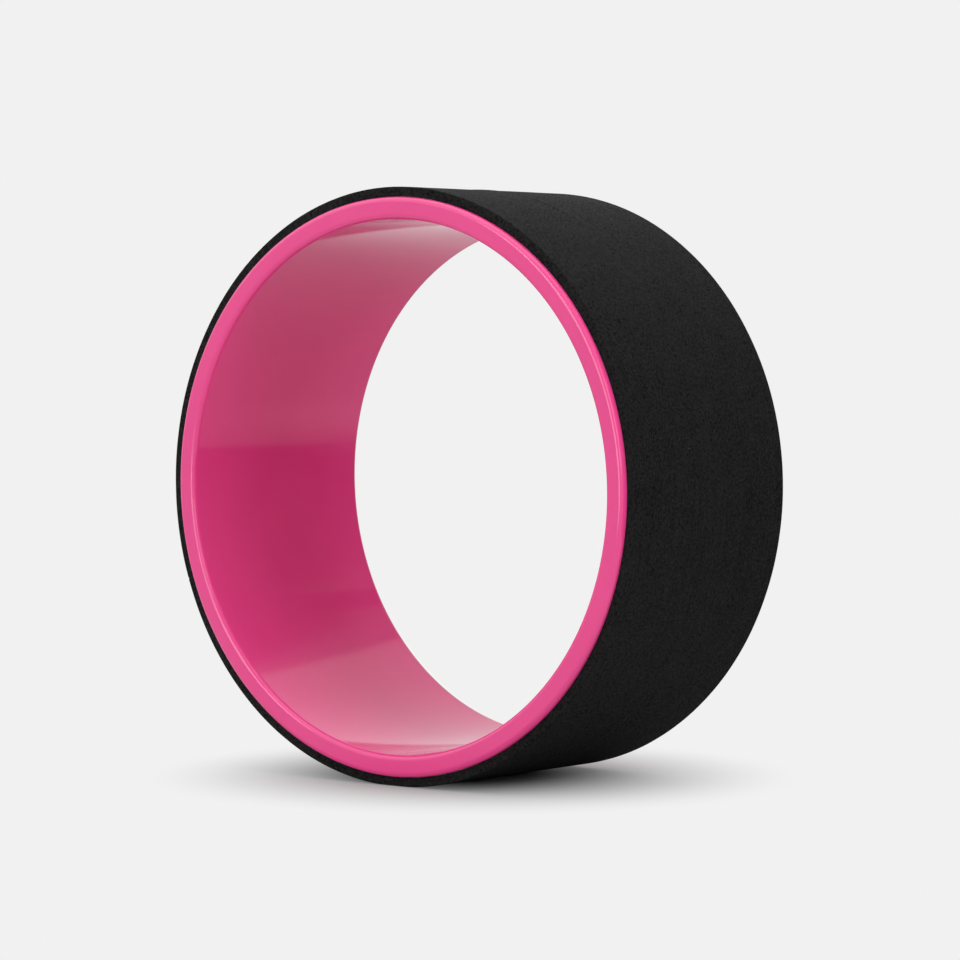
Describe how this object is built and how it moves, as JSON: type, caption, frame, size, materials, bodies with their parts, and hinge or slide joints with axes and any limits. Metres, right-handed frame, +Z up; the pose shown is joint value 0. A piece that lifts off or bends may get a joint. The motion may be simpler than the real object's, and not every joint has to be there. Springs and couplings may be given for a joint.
{
  "type": "yoga wheel",
  "caption": "Wide hollow plastic hoop with rounded lips and a foam pad round its tread, which stands and rolls on a floor under a person who stretches over it.",
  "frame": {"origin": "the wheel's centre, on its axis at mid-width", "axes": "+Y along the wheel's axis towards the rear opening, so the pictured front opening faces -Y; +Z up, with the wheel standing on its pad"},
  "size_m": [0.3306, 0.143, 0.3298],
  "materials": {
    "hoop_plastic": "gloss",
    "pad_tape": "matte",
    "pad_foam": "matte"
  },
  "bodies": {
    "root": {"front_half_hoop": "hoop_plastic", "rear_half_hoop": "hoop_plastic", "front_pad_tape": "pad_tape", "rear_pad_tape": "pad_tape", "foam_pad": "pad_foam"}
  },
  "joints": []
}
